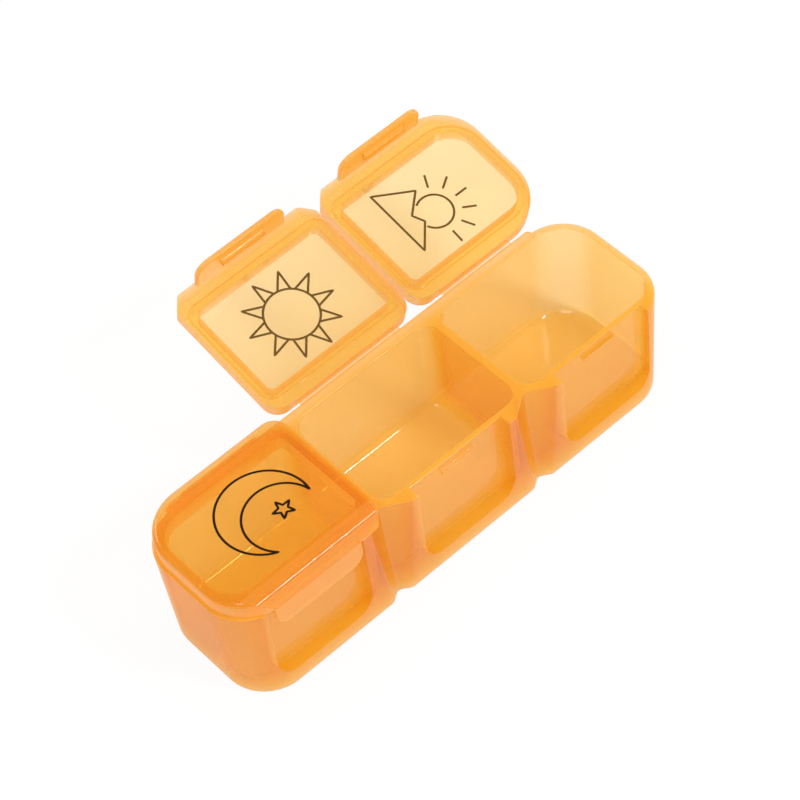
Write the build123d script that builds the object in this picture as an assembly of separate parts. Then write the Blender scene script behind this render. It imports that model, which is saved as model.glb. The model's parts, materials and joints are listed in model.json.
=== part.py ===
import os
from math import atan, cos, degrees, pi, radians, sin, sqrt

from build123d import *

os.makedirs("parts", exist_ok=True)

# Tray: a long box with round ends, measured at the rim
tray_length = 104.3
tray_depth = 29.2
tray_height = 24.2
end_radius = 8.8
end_lean = 1.2
base_round = 0.5
rim_round = 0.2

# Walls of the three cups
wall = 1.3
front_wall = 1.0
divider = 1.7
floor_thickness = 1.4
floor_round = 2.2
cup_corner = 3.0
front_corner = 4.5

# Grooves between the cups on the front
groove_half_width = 5.0
groove_depth_rim = 3.3
groove_depth_base = 1.5
groove_round = 1.2
ear_round = 1.4

# Finger recess in front of each cup, with its snap bead
recess_margin = 6.53
recess_depth = 2.4
recess_sill = 4.0
recess_corner = 4.0
bead_radius = 0.7
bead_length = 7.6
bead_drop = 2.0

# Lids
lid_gap = 0.1
lid_height = 3.8
lid_top_round = 1.1
lid_side_gap = 0.6
lid_end_inset = 0.4
lid_overhang = 0.5
lid_back_corner = 3.4
lid_end_back_corner = 10.0
lid_end_front_corner = 9.2
lid_cut_run = 2.3
lid_cut_rise = 2.7
lid_cut_round = 1.5
pane_thickness = 1.4
frame_side = 2.2
frame_front = 5.1
frame_back = 3.25
pane_corner = 1.4
pane_end_corner = 5.5
plug_drop = 0.7
plug_clearance = 0.25

# Front flap of a lid, below the sloping front edge
flap_clearance = 0.35
flap_thickness = 1.1
flap_drop = 5.5
flap_corner = 2.8
flap_tip_round = 0.4
flap_proud_rim = 0.05
flap_proud_tip = 0.15
flap_end_setback = 1.2
bevel_run = 3.4
bevel_drop = 0.6
bevel_setback = 1.0
bevel_round = 0.7
catch_radius = 0.95
catch_length = 10.0
catch_clearance = 0.12

# Living hinge: thin flanges on tray and lids, joined by a film
flange_reach = 0.85
flange_thickness = 0.4
flange_root = 0.3
flange_run_out = 0.65
flange_ear = 3.2
flange_corner = 0.8
film_thickness = 0.3
film_half_width = 12.0
film_end_margin = 2.0
bend_radius = 0.355
open_angle = 166.0

# Run-out of the cuts
overrun = 3.0

# Places that follow from the sizes above
half_length = tray_length / 2
half_depth = tray_depth / 2
cup_pitch = tray_length / 3
divider_x = cup_pitch / 2
noon_side = divider_x - divider / 2
end_cup_side = divider_x + divider / 2
end_cup_rim = half_length - wall
end_cup_foot = end_cup_rim - end_lean * (1 - floor_thickness / tray_height)
cup_depth = tray_height - floor_thickness
recess_width = cup_pitch - 2 * recess_margin
recess_face = -half_depth + recess_depth
front_inner = recess_face + front_wall
back_inner = half_depth - wall
lid_back = half_depth + lid_overhang
lid_bottom = tray_height + lid_gap
lid_top = lid_bottom + lid_height
pane_bottom = lid_top - pane_thickness
lid_side = divider_x - lid_side_gap
end_side = divider_x + lid_side_gap
lid_end = half_length - lid_end_inset
pane_front = -half_depth + frame_front
pane_back = half_depth - frame_back
flap_half = recess_width / 2 - flap_clearance
flap_tip = tray_height - flap_drop
bead_height = tray_height - bead_drop
flange_edge = half_depth + flange_reach
flange_half_length = half_length - end_radius + flange_run_out
tray_flange_mid = tray_height - flange_thickness / 2
lid_flange_mid = tray_flange_mid + 2 * bend_radius

# Hinge axis: one film length makes the half turn of a shut lid and lies straight under an open one
film_length = pi * bend_radius
open_cos = cos(radians(180 - open_angle))
open_sin = sin(radians(180 - open_angle))
film_square = 2 + 2 * open_cos
film_cross = 2 * bend_radius * open_sin
film_rest = bend_radius**2 * (2 - 2 * open_cos) - film_length**2
axis_reach = (sqrt(film_cross**2 - film_square * film_rest) - film_cross) / film_square
axis_y = flange_edge + axis_reach
axis_z = tray_flange_mid + bend_radius
hinge_axis = Axis((0, axis_y, axis_z), (-1, 0, 0))


def plan_between(x_low, x_high, y_low, y_high):
    return Pos((x_low + x_high) / 2, (y_low + y_high) / 2) * Rectangle(x_high - x_low, y_high - y_low)


def section_along_x(points, x_low, x_high):
    outline = make_face(Polyline(*[(x_low, y, z) for y, z in points], close=True))
    return extrude(outline, x_high - x_low, (1, 0, 0))


def section_along_y(points, y_low, y_high):
    outline = make_face(Polyline(*[(x, y_low, z) for x, z in points], close=True))
    return extrude(outline, y_high - y_low, (0, 1, 0))


def bar_along_x(middle_x, y, z, radius, length):
    return Pos(middle_x, y, z) * Rot(0, 90, 0) * Cylinder(radius, length)


# Tray body: a block whose ends lean out from the base, with round corners
body_profile = [
    (-half_length + end_lean, 0),
    (half_length - end_lean, 0),
    (half_length, tray_height),
    (-half_length, tray_height),
]
tray = section_along_y(body_profile, -half_depth, half_depth)
tray = fillet(tray.edges().group_by(Axis.Z)[1], end_radius)

# Grooves between the cups
groove_slope = groove_half_width / groove_depth_rim
groove_reach = groove_depth_rim + overrun
groove_lean = degrees(atan((groove_depth_rim - groove_depth_base) / tray_height))
groove_plan = make_face(
    Polyline(
        (0, 0),
        (-groove_slope * groove_reach, -groove_reach),
        (groove_slope * groove_reach, -groove_reach),
        close=True,
    )
)
groove = Pos(0, 0, -tray_height - overrun) * extrude(groove_plan, tray_height + 2 * overrun)
groove_root = groove.edges().filter_by(Axis.Z).sort_by(Axis.Y)[-1]
groove = fillet(groove_root, groove_round)
for side in (-1, 1):
    place = Pos(side * divider_x, -half_depth + groove_depth_rim, tray_height)
    tray -= place * Rot(-groove_lean, 0, 0) * groove

ear_edges = [
    edge
    for edge in tray.edges()
    if edge.bounding_box().size.Z > tray_height / 2
    and edge.center().Y < -half_depth + groove_depth_base
    and abs(abs(edge.center().X) - divider_x) > groove_half_width / 2
    and abs(edge.center().X) < divider_x + 2 * groove_half_width
]
tray = fillet(ear_edges, ear_round)
tray = fillet(tray.edges().group_by(Axis.Z)[0], base_round)

# Cups: the end cups lean with the end walls
noon_mouth = plan_between(-noon_side, noon_side, front_inner, back_inner)
noon_mouth = fillet(noon_mouth.vertices(), cup_corner)
noon_cup = extrude(Pos(0, 0, floor_thickness) * noon_mouth, cup_depth)
end_profile = [
    (end_cup_side, floor_thickness),
    (end_cup_foot, floor_thickness),
    (end_cup_rim, tray_height),
    (end_cup_side, tray_height),
]
end_cup = section_along_y(end_profile, front_inner, back_inner)
end_cup = fillet(end_cup.faces().sort_by(Axis.Y)[-1].edges().sort_by(Axis.X)[-1], end_radius - wall)
end_cup = fillet(end_cup.faces().sort_by(Axis.Y)[0].edges().sort_by(Axis.X)[-1], front_corner)
end_cup = fillet(end_cup.faces().sort_by(Axis.X)[0].edges().filter_by(Axis.Z), cup_corner)
for cup in (noon_cup, end_cup, mirror(end_cup, Plane.YZ)):
    tray -= fillet(cup.edges().group_by(Axis.Z)[0], floor_round)

# Finger recesses
recess_plan = Plane.XZ * plan_between(-recess_width / 2, recess_width / 2, recess_sill, tray_height + overrun)
recess = extrude(recess_plan, overrun + recess_depth)
recess = fillet(recess.edges().filter_by(Axis.Y).group_by(Axis.Z)[0], recess_corner)
for middle_x in (-cup_pitch, 0, cup_pitch):
    tray -= Pos(middle_x, recess_face, 0) * recess

# Rounded rim with the hinge flange along its back, and the snap beads
tray = fillet(tray.edges().group_by(Axis.Z)[-1], rim_round)
flange_plan = plan_between(-flange_half_length, flange_half_length, half_depth - flange_root, flange_edge)
flange_plan = fillet(flange_plan.vertices().group_by(Axis.Y)[-1], flange_corner)
tray += extrude(Pos(0, 0, tray_height) * flange_plan, -flange_thickness)
for middle_x in (-cup_pitch, 0, cup_pitch):
    tray += bar_along_x(middle_x, recess_face, bead_height, bead_radius, bead_length)

# Profiles of the lid front, in the shut position
bevel_back = (-half_depth + bevel_run, lid_top)
bevel_front = (-half_depth + bevel_setback, lid_top - bevel_drop)
flap_root = (-half_depth - flap_proud_rim, tray_height)
front_waste = [
    bevel_back,
    bevel_front,
    flap_root,
    (-half_depth - overrun, tray_height),
    (-half_depth - overrun, lid_top + overrun),
    (-half_depth + bevel_run, lid_top + overrun),
]
flap_profile = [
    bevel_front,
    flap_root,
    (-half_depth - flap_proud_tip, flap_tip),
    (-half_depth - flap_proud_tip + flap_thickness, flap_tip),
    (-half_depth - flap_proud_rim + flap_thickness, tray_height),
    (-half_depth + bevel_run, pane_bottom),
]
catch_y = -half_depth - flap_proud_tip + flap_thickness
catch_apart = catch_y - recess_face
catch_drop = sqrt((bead_radius + catch_radius + catch_clearance) ** 2 - catch_apart**2)


def corner_cut(side_x, inward):
    return make_face(
        Polyline(
            (side_x, -half_depth + lid_cut_rise),
            (side_x + inward * lid_cut_run, -half_depth),
            (side_x, -half_depth),
            close=True,
        )
    )


def lid_flap(middle_x, x_low, x_high):
    flap = section_along_x(flap_profile, x_low, x_high)
    outline = Plane.XZ * plan_between(x_low, x_high, flap_tip, lid_top)
    outline = fillet(outline.vertices().group_by(Axis.Z)[0], flap_corner)
    flap = flap & extrude(outline, tray_depth, both=True)
    flap = fillet(flap.edges().group_by(Axis.Z)[0].filter_by(Axis.X), flap_tip_round)
    return flap + bar_along_x(middle_x, catch_y, bead_height - catch_drop, catch_radius, catch_length)


def shut_lid(plan, pane_plan, mouth, middle_x, flap_span, flange_span):
    lid = extrude(Pos(0, 0, lid_bottom) * plan, lid_height)
    lid = fillet(lid.edges().group_by(Axis.Z)[-1], lid_top_round)
    lid -= section_along_x(front_waste, -half_length - overrun, half_length + overrun)
    lid += lid_flap(middle_x, *flap_span)
    front_edges = [
        edge
        for edge in lid.edges().filter_by(Axis.X)
        if edge.center().Y < -half_depth + bevel_run
        and abs(edge.center().Z - bevel_front[1]) < bevel_drop / 2
    ]
    lid = fillet(front_edges, bevel_round)
    plug_plan = Pos(0, 0, lid_bottom - plug_drop) * offset(mouth, -plug_clearance)
    lid += extrude(plug_plan, plug_drop + lid_height / 2)
    lid -= extrude(Pos(0, 0, lid_bottom - plug_drop) * pane_plan, pane_bottom - lid_bottom + plug_drop)
    flange = plan_between(*flange_span, half_depth - flange_root, flange_edge)
    return lid + extrude(Pos(0, 0, lid_flange_mid - flange_thickness / 2) * flange, flange_thickness)


# Noon lid
noon_plan = plan_between(-lid_side, lid_side, -half_depth, lid_back)
noon_plan = noon_plan - corner_cut(lid_side, -1) - corner_cut(-lid_side, 1)
noon_plan = fillet(noon_plan.vertices().group_by(Axis.Y)[-1], lid_back_corner)
noon_plan = fillet([v for v in noon_plan.vertices() if v.Y < 0], lid_cut_round)
noon_pane = plan_between(-lid_side + frame_side, lid_side - frame_side, pane_front, pane_back)
noon_pane = fillet(noon_pane.vertices(), pane_corner)
noon_film = (-film_half_width, film_half_width)
noon_shut = shut_lid(noon_plan, noon_pane, noon_mouth, 0, (-flap_half, flap_half), noon_film)

# End lids: the night lid is the mirror image of the morning lid
end_plan = plan_between(end_side, lid_end, -half_depth, lid_back) - corner_cut(end_side, 1)
end_plan = fillet(end_plan.vertices().group_by(Axis.X)[0].sort_by(Axis.Y)[-1], lid_back_corner)
end_plan = fillet(end_plan.vertices().group_by(Axis.X)[-1].sort_by(Axis.Y)[-1], lid_end_back_corner)
end_plan = fillet(end_plan.vertices().group_by(Axis.X)[-1].sort_by(Axis.Y)[0], lid_end_front_corner)
cut_points = [v for v in end_plan.vertices() if v.Y < 0 and v.X < end_side + 2 * lid_cut_run]
end_plan = fillet(cut_points, lid_cut_round)
end_pane = plan_between(end_side + frame_side, lid_end - frame_side, pane_front, pane_back)
end_pane = fillet(end_pane.vertices().group_by(Axis.X)[-1], pane_end_corner)
end_pane = fillet(end_pane.vertices().group_by(Axis.X)[0], pane_corner)
end_mouth = plan_between(end_cup_side, end_cup_rim, front_inner, back_inner)
end_mouth = fillet(end_mouth.vertices().group_by(Axis.X)[-1], end_radius - wall)
end_mouth = fillet(end_mouth.vertices().group_by(Axis.X)[0], cup_corner)
end_film = (cup_pitch - film_half_width, lid_end - lid_end_back_corner - film_end_margin)
end_flap = (cup_pitch - flap_half, cup_pitch + flap_half - flap_end_setback)
end_flange = (end_film[0], end_film[1] + flange_ear)
morning_shut = shut_lid(end_plan, end_pane, end_mouth, cup_pitch, end_flap, end_flange)

night_lid = mirror(morning_shut, Plane.YZ)
noon_lid = noon_shut.rotate(hinge_axis, open_angle)
morning_lid = morning_shut.rotate(hinge_axis, open_angle)


# Hinge films: a half turn at the shut lid, a straight web at the open ones
def turned(y, z):
    dy = y - axis_y
    dz = z - axis_z
    return (axis_y - dy * open_cos + dz * open_sin, axis_z - dy * open_sin - dz * open_cos)


def straight_film(x_low, x_high):
    points = [
        (flange_edge, tray_flange_mid - film_thickness / 2),
        (flange_edge, tray_flange_mid + film_thickness / 2),
        turned(flange_edge, lid_flange_mid - film_thickness / 2),
        turned(flange_edge, lid_flange_mid + film_thickness / 2),
    ]
    return section_along_x(points, x_low, x_high)


def bent_film(x_low, x_high):
    middle_x = (x_low + x_high) / 2
    width = x_high - x_low
    tube = bar_along_x(middle_x, flange_edge, axis_z, bend_radius + film_thickness / 2, width)
    tube -= bar_along_x(middle_x, flange_edge, axis_z, bend_radius - film_thickness / 2, width)
    behind = plan_between(x_low, x_high, flange_edge, flange_edge + 2 * bend_radius)
    return tube & extrude(behind, lid_top)


night_hinge = bent_film(-end_film[1], -end_film[0])
noon_hinge = straight_film(*noon_film)
morning_hinge = straight_film(*end_film)

nodes = {
    "tray": tray,
    "night_lid": night_lid,
    "noon_lid": noon_lid,
    "morning_lid": morning_lid,
    "night_hinge": night_hinge,
    "noon_hinge": noon_hinge,
    "morning_hinge": morning_hinge,
}
for name, shape in nodes.items():
    export_step(shape, f"parts/{name}.step")
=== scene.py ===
import json
from math import asin, cos, pi, radians, sin

import bpy
from mathutils import Matrix, Vector


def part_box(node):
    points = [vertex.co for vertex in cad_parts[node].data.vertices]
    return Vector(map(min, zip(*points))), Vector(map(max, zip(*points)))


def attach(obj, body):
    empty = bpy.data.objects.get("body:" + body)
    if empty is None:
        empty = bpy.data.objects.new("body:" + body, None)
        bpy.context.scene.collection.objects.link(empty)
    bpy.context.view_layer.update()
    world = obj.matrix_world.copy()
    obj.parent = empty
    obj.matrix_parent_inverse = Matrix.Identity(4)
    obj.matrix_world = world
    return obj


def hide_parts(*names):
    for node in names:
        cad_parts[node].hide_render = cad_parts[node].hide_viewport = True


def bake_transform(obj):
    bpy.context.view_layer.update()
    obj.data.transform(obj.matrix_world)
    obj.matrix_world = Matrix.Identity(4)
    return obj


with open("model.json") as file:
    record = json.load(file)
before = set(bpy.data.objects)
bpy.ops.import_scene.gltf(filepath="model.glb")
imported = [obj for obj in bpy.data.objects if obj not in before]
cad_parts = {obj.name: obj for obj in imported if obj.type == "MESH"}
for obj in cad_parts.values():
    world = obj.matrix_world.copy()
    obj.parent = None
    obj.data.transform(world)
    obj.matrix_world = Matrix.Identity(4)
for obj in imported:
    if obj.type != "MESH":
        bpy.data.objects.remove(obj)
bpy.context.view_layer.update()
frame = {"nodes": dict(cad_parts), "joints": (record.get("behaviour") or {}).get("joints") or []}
nodes = frame["nodes"]
scene = bpy.context.scene

# Studio: a pale table under soft lamps, seen from above and a little to the left
# with a long lens. Light passes through many plastic walls in a row, so rays
# may cross more clear surfaces than Blender's default.
CAMERA_AIM = Vector((0.000601, 0.002847, 0.025))
CAMERA_TURN = radians(-35.331)
CAMERA_RISE = radians(52.162)
CAMERA_ROLL = radians(-8.731)
CAMERA_AWAY = 0.541744
CAMERA_LENS = 137.229
CAMERA_SENSOR = 36.0
CAMERA_NEAR = 0.01
CLEAR_SURFACES = 48
WHITE = "#FFFFFF"
TABLE_SIZE = 6.0
TABLE_DROP = 0.0002
TABLE_PAINT = "#EEEEEE"
WHITE_SHARE = 0.9
NO_WALL_CROSSED = 0.5
WORLD_STRENGTH = 0.68
CEILING_STRENGTH = 0.2
LAMPS = (
    ("key lamp", (-0.35, -0.25, 0.75), 0.35, 1.9),
    ("side lamp", (0.75, 0.10, 0.55), 0.45, 1.3),
    ("window strip", (-0.15, 0.70, 0.60), 0.30, 1.1),
    ("front lamp", (0.246, -0.553, 0.689), 0.16, 3.2),
    ("ceiling lamp", (0.27, 0.05, 0.88), 0.40, 0.15),
)


def linear(hex_colour):
    channels = [int(hex_colour[i : i + 2], 16) / 255 for i in (1, 3, 5)]
    straight = [c / 12.92 if c <= 0.04045 else ((c + 0.055) / 1.055) ** 2.4 for c in channels]
    return (*straight, 1.0)


# A setting is named after its socket, or _0, _1 for a socket's number, or set_
# and the name for a property of the node itself.
def add_node(tree, kind, links=None, **settings):
    node = tree.nodes.new(kind)
    for key, value in settings.items():
        if key.startswith("set_"):
            setattr(node, key[4:], value)
        else:
            name = key.replace("_", " ")
            node.inputs[name if name in node.inputs else int(key[1:])].default_value = value
    for socket, source in (links or {}).items():
        tree.links.new(source, node.inputs[socket])
    return node


def empty_material(name):
    material = bpy.data.materials.new(name)
    material.use_nodes = True
    material.node_tree.nodes.clear()
    return material, material.node_tree


scene.view_settings.view_transform = "Standard"
scene.cycles.transparent_max_bounces = CLEAR_SURFACES

camera_data = bpy.data.cameras.new("camera")
camera_data.lens = CAMERA_LENS
camera_data.sensor_width = CAMERA_SENSOR
camera_data.clip_start = CAMERA_NEAR
camera = bpy.data.objects.new("camera", camera_data)
scene.collection.objects.link(camera)
back = Vector((
    sin(CAMERA_TURN) * cos(CAMERA_RISE),
    -cos(CAMERA_TURN) * cos(CAMERA_RISE),
    sin(CAMERA_RISE),
))
right = Vector((cos(CAMERA_TURN), sin(CAMERA_TURN), 0))
up = back.cross(right)
rolled_right = cos(CAMERA_ROLL) * right + sin(CAMERA_ROLL) * up
rolled_up = back.cross(rolled_right)
camera_sides = Matrix((rolled_right, rolled_up, back)).transposed().to_4x4()
camera.matrix_world = Matrix.Translation(CAMERA_AIM + back * CAMERA_AWAY) @ camera_sides
scene.camera = camera

# The room is white to the camera, and its ceiling is dim in the plastic's shine.
world = bpy.data.worlds.new("studio")
scene.world = world
world.use_nodes = True
tree = world.node_tree
tree.nodes.clear()
sight = add_node(tree, "ShaderNodeLightPath").outputs
ceiling = add_node(
    tree, "ShaderNodeMapRange", {"Value": sight["Is Glossy Ray"]},
    To_Min=WORLD_STRENGTH, To_Max=CEILING_STRENGTH,
)
room = add_node(
    tree, "ShaderNodeMath", {0: sight["Is Camera Ray"], 1: ceiling.outputs[0]},
    set_operation="MAXIMUM",
)
sky = add_node(
    tree, "ShaderNodeBackground", {"Strength": room.outputs[0]}, Color=linear(WHITE)
)
add_node(tree, "ShaderNodeOutputWorld", {"Surface": sky.outputs[0]})

for name, place, size, power in LAMPS:
    lamp_data = bpy.data.lights.new(name, "AREA")
    lamp_data.size = size
    lamp_data.energy = power
    lamp = bpy.data.objects.new(name, lamp_data)
    scene.collection.objects.link(lamp)
    lamp.location = place
    lamp.rotation_euler = (CAMERA_AIM - Vector(place)).to_track_quat("-Z", "Y").to_euler()

bpy.ops.object.select_all(action="DESELECT")
bpy.ops.mesh.primitive_plane_add(size=TABLE_SIZE, location=(0, 0, -TABLE_DROP))
table = bpy.context.object
table.name = "table"

# Matt white paint. What is bare of plastic, and what shows in a shine, is mostly
# plain white, and the rest of it takes the object's shadow. Under the plastic it
# is paint alone, so that the cups' floors keep the shade of their walls.
table_material, tree = empty_material("white_table")
sight = add_node(tree, "ShaderNodeLightPath").outputs
bare = add_node(
    tree, "ShaderNodeMath", {0: sight["Transparent Depth"]},
    set_operation="LESS_THAN", _1=NO_WALL_CROSSED,
)
seen = add_node(
    tree, "ShaderNodeMath", {0: sight["Is Camera Ray"], 1: bare.outputs[0]},
    set_operation="MULTIPLY",
)
for kind in ("Is Glossy Ray", "Is Transmission Ray"):
    seen = add_node(
        tree, "ShaderNodeMath", {0: seen.outputs[0], 1: sight[kind]}, set_operation="MAXIMUM"
    )
share = add_node(
    tree, "ShaderNodeMath", {0: seen.outputs[0]}, set_operation="MULTIPLY", _1=WHITE_SHARE
)
paint = add_node(tree, "ShaderNodeBsdfDiffuse", Color=linear(TABLE_PAINT))
glow = add_node(tree, "ShaderNodeEmission", Color=linear(WHITE), Strength=1.0)
both = add_node(
    tree, "ShaderNodeMixShader",
    {0: share.outputs[0], 1: paint.outputs[0], 2: glow.outputs[0]},
)
add_node(tree, "ShaderNodeOutputMaterial", {"Surface": both.outputs[0]})
table_material.cycles.emission_sampling = "NONE"
table.data.materials.append(table_material)

# Tray: one injection moulding in clear amber polypropylene, three cups in a row
# with a snap bead in each finger recess. The polished mould leaves it glossy. The
# rims' tops carry a painted glow: more milk makes them denser, standing in for the
# light that the rims gather from the walls below them.
AMBER_LOSS = 600.0
AMBER_PASS = "#FDEFA4"
AMBER_BODY = "#FEC448"
PALEST = 0.94
DEEPEST = 1.06
TRAY_MILK = 0.15
GRAIN_AND_GLOW_MILK = 0.6
RIM_FACE = 0.0239
RIM_PAINTED_GLOW = 0.9
SEEN_FROM_BEHIND = 0.5
MOST_SLANT = 0.08
POLYPROPYLENE_IOR = 1.49
MOST_GLEAM = 0.09
SMOOTHEST = 0.05
ROUGHEST = 0.16
FLOW_SIZE = 0.011
FLOW_DETAIL = 3.0
FLOW_BUMP = 0.25
FLOW_DEPTH = 0.0006
PEEL_SIZE = 0.0011
PEEL_DETAIL = 2.0
PEEL_BUMP = 0.06
PEEL_DEPTH = 0.0002


# Moulded polypropylene: clear plastic with a little milk in it. It glows where
# light comes through, its tint deepens with its thickness, and at a slant more of
# the milk is in the way. The melt's flow bends the shine in slow waves, and the
# mould's fine peel is drawn coarser than it is so that it shows.
def moulded_polypropylene(name, milk):
    material, tree = empty_material(name)
    place = add_node(tree, "ShaderNodeTexCoord").outputs["Object"]
    flow = add_node(
        tree, "ShaderNodeTexNoise", {"Vector": place}, Scale=1 / FLOW_SIZE, Detail=FLOW_DETAIL
    )
    peel = add_node(
        tree, "ShaderNodeTexNoise", {"Vector": place}, Scale=1 / PEEL_SIZE, Detail=PEEL_DETAIL
    )
    waves = add_node(
        tree, "ShaderNodeBump", {"Height": flow.outputs[0]},
        Strength=FLOW_BUMP, Distance=FLOW_DEPTH,
    )
    skin = add_node(
        tree, "ShaderNodeBump", {"Height": peel.outputs[0], "Normal": waves.outputs[0]},
        Strength=PEEL_BUMP, Distance=PEEL_DEPTH,
    )
    shine = add_node(
        tree, "ShaderNodeMapRange", {"Value": flow.outputs[0]},
        To_Min=SMOOTHEST, To_Max=ROUGHEST,
    )
    pigment = add_node(
        tree, "ShaderNodeMapRange", {"Value": flow.outputs[0]}, To_Min=PALEST, To_Max=DEEPEST
    )
    tint = add_node(
        tree, "ShaderNodeVectorMath", {"Scale": pigment.outputs[0]},
        set_operation="SCALE", _0=linear(AMBER_BODY)[:3],
    )

    surface = add_node(
        tree, "ShaderNodeBsdfPrincipled",
        {"Base Color": tint.outputs[0], "Roughness": shine.outputs[0], "Normal": skin.outputs[0]},
        IOR=POLYPROPYLENE_IOR,
    )
    through = add_node(tree, "ShaderNodeBsdfTranslucent", {"Color": tint.outputs[0]})
    milky = add_node(
        tree, "ShaderNodeMixShader", {1: surface.outputs[0], 2: through.outputs[0]},
        _0=SEEN_FROM_BEHIND,
    )
    clear = add_node(tree, "ShaderNodeBsdfTransparent", Color=linear(WHITE))

    slant = add_node(tree, "ShaderNodeLayerWeight").outputs["Facing"]
    straight = add_node(tree, "ShaderNodeMath", {1: slant}, set_operation="SUBTRACT", _0=1.0)
    straight = add_node(
        tree, "ShaderNodeMath", {0: straight.outputs[0]}, set_operation="MAXIMUM", _1=MOST_SLANT
    )
    way_through = add_node(
        tree, "ShaderNodeMath", {1: straight.outputs[0]}, set_operation="DIVIDE", _0=1.0
    )
    # A face's grain adds milk: mould grain on the lids' borders and flaps, and a painted glow on
    # the tray's rim tops.
    grain_and_rim_glow = add_node(tree, "ShaderNodeAttribute", set_attribute_name="grain_and_rim_glow").outputs["Fac"]
    clearness = add_node(
        tree, "ShaderNodeMapRange", {"Value": grain_and_rim_glow}, To_Min=1 - milk, To_Max=1 - GRAIN_AND_GLOW_MILK
    )
    clarity = add_node(
        tree, "ShaderNodeMath", {0: clearness.outputs[0], 1: way_through.outputs[0]},
        set_operation="POWER",
    )
    body = add_node(
        tree, "ShaderNodeMixShader",
        {0: clarity.outputs[0], 1: milky.outputs[0], 2: clear.outputs[0]},
    )

    inside = add_node(tree, "ShaderNodeNewGeometry").outputs["Backfacing"]
    outside = add_node(tree, "ShaderNodeMath", {1: inside}, set_operation="SUBTRACT", _0=1.0)
    mirror = add_node(
        tree, "ShaderNodeFresnel", {"Normal": skin.outputs[0]}, IOR=POLYPROPYLENE_IOR
    )
    mirror = add_node(
        tree, "ShaderNodeMath", {0: mirror.outputs[0]}, set_operation="MINIMUM", _1=MOST_GLEAM
    )
    gleam = add_node(
        tree, "ShaderNodeMath", {0: outside.outputs[0], 1: mirror.outputs[0]},
        set_operation="MULTIPLY",
    )
    gloss = add_node(
        tree, "ShaderNodeBsdfGlossy",
        {"Roughness": shine.outputs[0], "Normal": skin.outputs[0]},
    )
    coated = add_node(
        tree, "ShaderNodeMixShader",
        {0: gleam.outputs[0], 1: body.outputs[0], 2: gloss.outputs[0]},
    )
    depth = add_node(
        tree, "ShaderNodeVolumeAbsorption", Color=linear(AMBER_PASS), Density=AMBER_LOSS
    )
    add_node(
        tree, "ShaderNodeOutputMaterial",
        {"Surface": coated.outputs[0], "Volume": depth.outputs[0]},
    )
    return material


# The grain of each face, and the painted glow on the tray's rims, is told from
# where it lies, and which way it looks, on the shut box. The turn is the one that
# opened the piece.
def dress(node_name, material, grain_and_glow_of, turn):
    node = nodes[node_name]
    node.data.materials.clear()
    node.data.materials.append(material)
    grain_and_rim_glow = node.data.attributes.new("grain_and_rim_glow", "FLOAT", "FACE")
    shut = turn.inverted()
    for face in node.data.polygons:
        spot, way = shut @ face.center, shut.to_3x3() @ face.normal
        grain_and_rim_glow.data[face.index].value = grain_and_glow_of(spot, way)


# Painted glow: the rim tops are made denser to stand in for the light that the rims gather from
# the walls below them.
def tray_painted_rim_glow(spot, way):
    return RIM_PAINTED_GLOW if spot.z > RIM_FACE else 0.0


as_moulded = Matrix()
tray_plastic = moulded_polypropylene("moulded_tray_polypropylene", TRAY_MILK)
dress("tray", tray_plastic, tray_painted_rim_glow, as_moulded)

# Lids: the same amber polypropylene, each with a thin clear pane in a thicker
# border, a plug that seats in its cup and a front flap that snaps under the bead.
# They are moulded in one shot with the tray, the flap and border finely grained.
LID_MILK = 0.13
FLAP_BACK = -0.0130
FLAP_ROOT = 0.0243
FLAP_GRAIN = 0.65
PANE_FACE = 0.0265
FLAT_WAY = 0.98
BORDER_GRAIN = 0.35
OPEN_TURN = radians(166.0)

axis_place = Vector(frame["joints"][0]["pos_m"])
axis_middle = Matrix.Translation((0, axis_place.y, axis_place.z))
open_lid = axis_middle @ Matrix.Rotation(-OPEN_TURN, 4, "X") @ axis_middle.inverted()


def lid_grain(spot, way):
    if spot.y < FLAP_BACK and spot.z < FLAP_ROOT:
        return FLAP_GRAIN
    return 0.0 if abs(way.z) > FLAT_WAY and spot.z > PANE_FACE else BORDER_GRAIN


lid_plastic = moulded_polypropylene("moulded_lid_polypropylene", LID_MILK)
dress("night_lid", lid_plastic, lid_grain, as_moulded)
dress("noon_lid", lid_plastic, lid_grain, open_lid)
dress("morning_lid", lid_plastic, lid_grain, open_lid)

# Hinge films: the living hinges, a third of a millimetre of the same plastic
# coined thin between tray and lid, so they look paler. A shut lid's film makes
# a half turn, and an open lid's film lies straight up to its open lid.
FILM_MILK = 0.20
FILM_THICKNESS = 0.0003
FILM_ROWS = 12
FILM_COLUMNS = 8
FLANGE_EDGE = 0.01545
TRAY_FLANGE = 0.0240
BEND_RADIUS = 0.000355
SMOOTH_UP_TO = radians(40)

film_plastic = moulded_polypropylene("coined_hinge_polypropylene", FILM_MILK)
film_foot = Vector((0, FLANGE_EDGE, TRAY_FLANGE))
film_head = open_lid @ Vector((0, FLANGE_EDGE, TRAY_FLANGE + 2 * BEND_RADIUS))


def shut_run(share):
    half_turn = pi * share
    return film_foot + BEND_RADIUS * Vector((0, sin(half_turn), 1 - cos(half_turn)))


def open_run(share):
    return film_foot.lerp(film_head, share)


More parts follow.
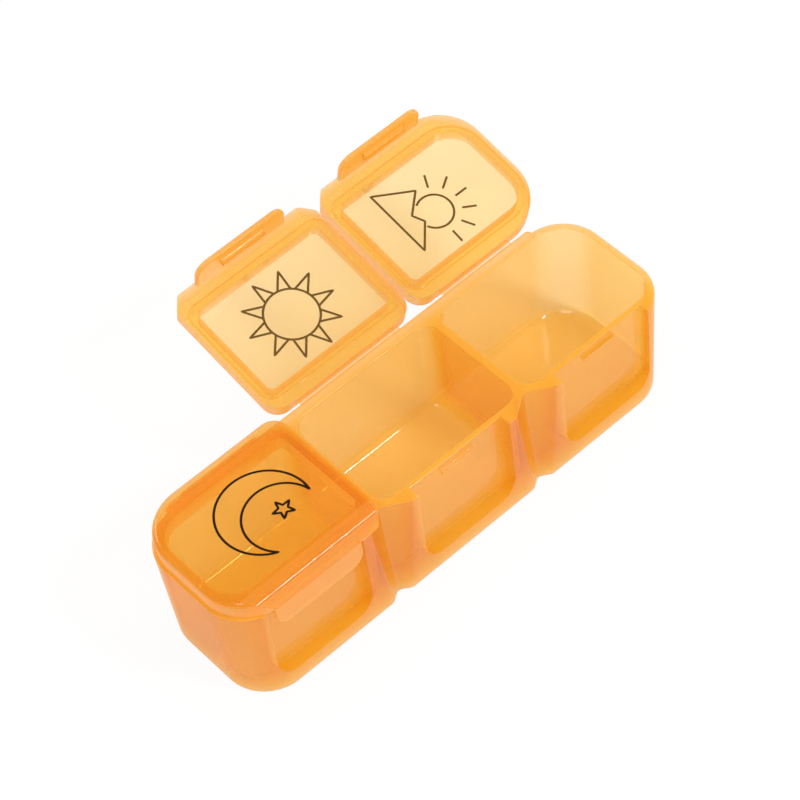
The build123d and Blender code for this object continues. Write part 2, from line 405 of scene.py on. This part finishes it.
def hinge_film(name, run):
    lowest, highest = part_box(name)
    bpy.ops.object.select_all(action="DESELECT")
    bpy.ops.mesh.primitive_grid_add(
        x_subdivisions=FILM_COLUMNS, y_subdivisions=FILM_ROWS, size=1.0
    )
    film = bpy.context.object
    film.name = name + "_film"
    for vertex in film.data.vertices:
        share_x, share_run = vertex.co.x + 0.5, vertex.co.y + 0.5
        spot = run(share_run)
        vertex.co = (lowest.x + share_x * (highest.x - lowest.x), spot.y, spot.z)
    wall = film.modifiers.new("wall", "SOLIDIFY")
    wall.thickness = FILM_THICKNESS
    wall.offset = 0.0
    bpy.ops.object.modifier_apply(modifier=wall.name)
    bpy.ops.object.shade_smooth_by_angle(angle=SMOOTH_UP_TO)
    film.data.materials.append(film_plastic)
    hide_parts(name)
    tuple(run(0))
    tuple(run(1))
    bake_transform(film)


hinge_film("night_hinge", shut_run)
hinge_film("noon_hinge", open_run)
hinge_film("morning_hinge", open_run)

# Signs for the time of day: dark ink, pad printed as thin outlines on the outer
# face of each lid. A moon and star stand for night, a sun for noon and a sun
# over mountains for morning. On the open lids they show through the pane.
LID_TOP = 0.0281
LINE_WIDTH = 0.00046
LINE_ROUNDNESS = 2
ARC_STEPS = 40
INK_HEIGHT_SHARE = 0.09
INK_RISE = INK_HEIGHT_SHARE * LINE_WIDTH / 4
INK_COLOUR = "#1E1008"
INK_SPECULAR = 0.15
INK_GRAIN_SIZE = 0.0004
INK_GRAIN_DETAIL = 2.0
INK_THICK = 0.7
INK_THIN = 1.3
INK_SMOOTHEST = 0.35
INK_ROUGHEST = 0.6
FULL_TURN = 2 * pi

# Pad printing ink: a thin dark film, half matt and a little uneven where the pad
# lifted off.
printing_ink, tree = empty_material("pad_printing_ink")
place = add_node(tree, "ShaderNodeTexCoord").outputs["Object"]
speckle = add_node(
    tree, "ShaderNodeTexNoise", {"Vector": place},
    Scale=1 / INK_GRAIN_SIZE, Detail=INK_GRAIN_DETAIL,
)
ink_film = add_node(
    tree, "ShaderNodeMapRange", {"Value": speckle.outputs[0]}, To_Min=INK_THICK, To_Max=INK_THIN
)
ink_tint = add_node(
    tree, "ShaderNodeVectorMath", {"Scale": ink_film.outputs[0]},
    set_operation="SCALE", _0=linear(INK_COLOUR)[:3],
)
ink_shine = add_node(
    tree, "ShaderNodeMapRange", {"Value": speckle.outputs[0]},
    To_Min=INK_SMOOTHEST, To_Max=INK_ROUGHEST,
)
ink_surface = add_node(
    tree, "ShaderNodeBsdfPrincipled",
    {"Base Color": ink_tint.outputs[0], "Roughness": ink_shine.outputs[0]},
    Specular_IOR_Level=INK_SPECULAR,
)
add_node(tree, "ShaderNodeOutputMaterial", {"Surface": ink_surface.outputs[0]})


def on_circle(middle, radius, angle):
    return middle + radius * Vector((cos(angle), sin(angle)))


def arc(middle, radius, first, last):
    angles = [first + (last - first) * i / ARC_STEPS for i in range(ARC_STEPS + 1)]
    return [on_circle(middle, radius, angle) for angle in angles]


# A line thins where it turns sharply, so points close to each corner keep the
# thin part within the corner itself.
def full_width(points, closed):
    spots = []
    for start, end in zip(points, points[1:] + points[:1] if closed else points[1:]):
        line = end - start
        reach = line.normalized() * min(LINE_WIDTH / 2, line.length / 3)
        spots += [start, start + reach, end - reach]
    return spots if closed else spots + points[-1:]


def print_sign(name, lid, strokes, turn):
    bpy.ops.object.select_all(action="DESELECT")
    lines = bpy.data.curves.new(name, "CURVE")
    lines.dimensions = "3D"
    lines.bevel_depth = LINE_WIDTH / 2
    lines.bevel_resolution = LINE_ROUNDNESS
    lines.use_fill_caps = True
    for points, closed in strokes:
        spots = full_width(points, closed)
        stroke = lines.splines.new("POLY")
        stroke.points.add(len(spots) - 1)
        stroke.use_cyclic_u = closed
        for point, spot in zip(stroke.points, spots):
            point.co = (spot.x, spot.y, 0, 1)
    sign = bpy.data.objects.new(name, lines)
    scene.collection.objects.link(sign)
    sign.select_set(True)
    bpy.context.view_layer.objects.active = sign
    bpy.ops.object.convert(target="MESH")
    sign = bpy.context.object
    on_lid = Matrix.Translation((0, 0, LID_TOP + INK_RISE))
    sign.matrix_world = turn @ on_lid @ Matrix.Diagonal((1, 1, INK_HEIGHT_SHARE, 1))
    bpy.ops.object.transform_apply(location=True, rotation=True, scale=True)
    bpy.ops.object.shade_smooth_by_angle(angle=SMOOTH_UP_TO)
    sign.data.materials.append(printing_ink)
    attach(sign, lid)


SUN_MIDDLE = Vector((0.0004, 0.0002))
SUN_DISC = 0.0053
SUN_RAY_FOOT = 0.0053
SUN_RAY_TIP = 0.0092
SUN_RAYS = 10
SUN_FIRST_RAY = 0.2
SUN_RAY_HALF = 0.38
sun = [(arc(SUN_MIDDLE, SUN_DISC, 0, FULL_TURN)[:-1], True)]
ray_half = SUN_RAY_HALF * FULL_TURN / SUN_RAYS
for i in range(SUN_RAYS):
    angle = FULL_TURN * (i + SUN_FIRST_RAY) / SUN_RAYS
    ray = [
        on_circle(SUN_MIDDLE, SUN_RAY_FOOT, angle - ray_half),
        on_circle(SUN_MIDDLE, SUN_RAY_TIP, angle),
        on_circle(SUN_MIDDLE, SUN_RAY_FOOT, angle + ray_half),
    ]
    sun.append((ray, False))
print_sign("noon_sign", "noon_lid", sun, open_lid)

MOON_MIDDLE = Vector((-0.0334, -0.0002))
MOON_RADIUS = 0.0089
MOON_OPENS = radians(-63.7)
MOON_HORN = radians(51.1)
MOON_BITE = 0.0034
bite_middle = on_circle(MOON_MIDDLE, MOON_BITE, MOON_OPENS)
bite_radius = (on_circle(MOON_MIDDLE, MOON_RADIUS, MOON_OPENS + MOON_HORN) - bite_middle).length
bite_horn = asin(MOON_RADIUS * sin(MOON_HORN) / bite_radius)
moon_end = MOON_OPENS + FULL_TURN
moon = arc(MOON_MIDDLE, MOON_RADIUS, MOON_OPENS + MOON_HORN, moon_end - MOON_HORN)
moon += arc(bite_middle, bite_radius, moon_end - bite_horn, MOON_OPENS + bite_horn)[1:-1]
print_sign("night_sign", "night_lid", [(moon, True)], as_moulded)

STAR_MIDDLE = Vector((-0.0307, -0.0020))
STAR_RADIUS = 0.0021
STAR_NOTCH = 0.42 * STAR_RADIUS
STAR_POINTS = 5
STAR_TURN = radians(20)
star = []
for i in range(STAR_POINTS):
    angle = FULL_TURN * i / STAR_POINTS + STAR_TURN
    star.append(on_circle(STAR_MIDDLE, STAR_RADIUS, angle))
    star.append(on_circle(STAR_MIDDLE, STAR_NOTCH, angle + pi / STAR_POINTS))
print_sign("night_star_sign", "night_lid", [(star, True)], as_moulded)

RIDGE = (
    Vector((0.0281, -0.0090)),
    Vector((0.0355, -0.0046)),
    Vector((0.0313, -0.0010)),
    Vector((0.0324, 0.0014)),
    Vector((0.0281, 0.0060)),
)
DAWN_MIDDLE = Vector((0.0353, 0.0010))
DAWN_DISC = 0.0036
DAWN_DISC_ENDS = radians(-122), radians(156)
DAWN_RAYS = 6
DAWN_FIRST_RAY = radians(-62)
DAWN_RAY_STEP = radians(31)
DAWN_RAY_FOOT = 0.0052
DAWN_RAY_TIP = 0.0080
dawn = [(list(RIDGE), True), (arc(DAWN_MIDDLE, DAWN_DISC, *DAWN_DISC_ENDS), False)]
for i in range(DAWN_RAYS):
    angle = DAWN_FIRST_RAY + i * DAWN_RAY_STEP
    ray = [on_circle(DAWN_MIDDLE, reach, angle) for reach in (DAWN_RAY_FOOT, DAWN_RAY_TIP)]
    dawn.append((ray, False))
print_sign("morning_sign", "morning_lid", dawn, open_lid)
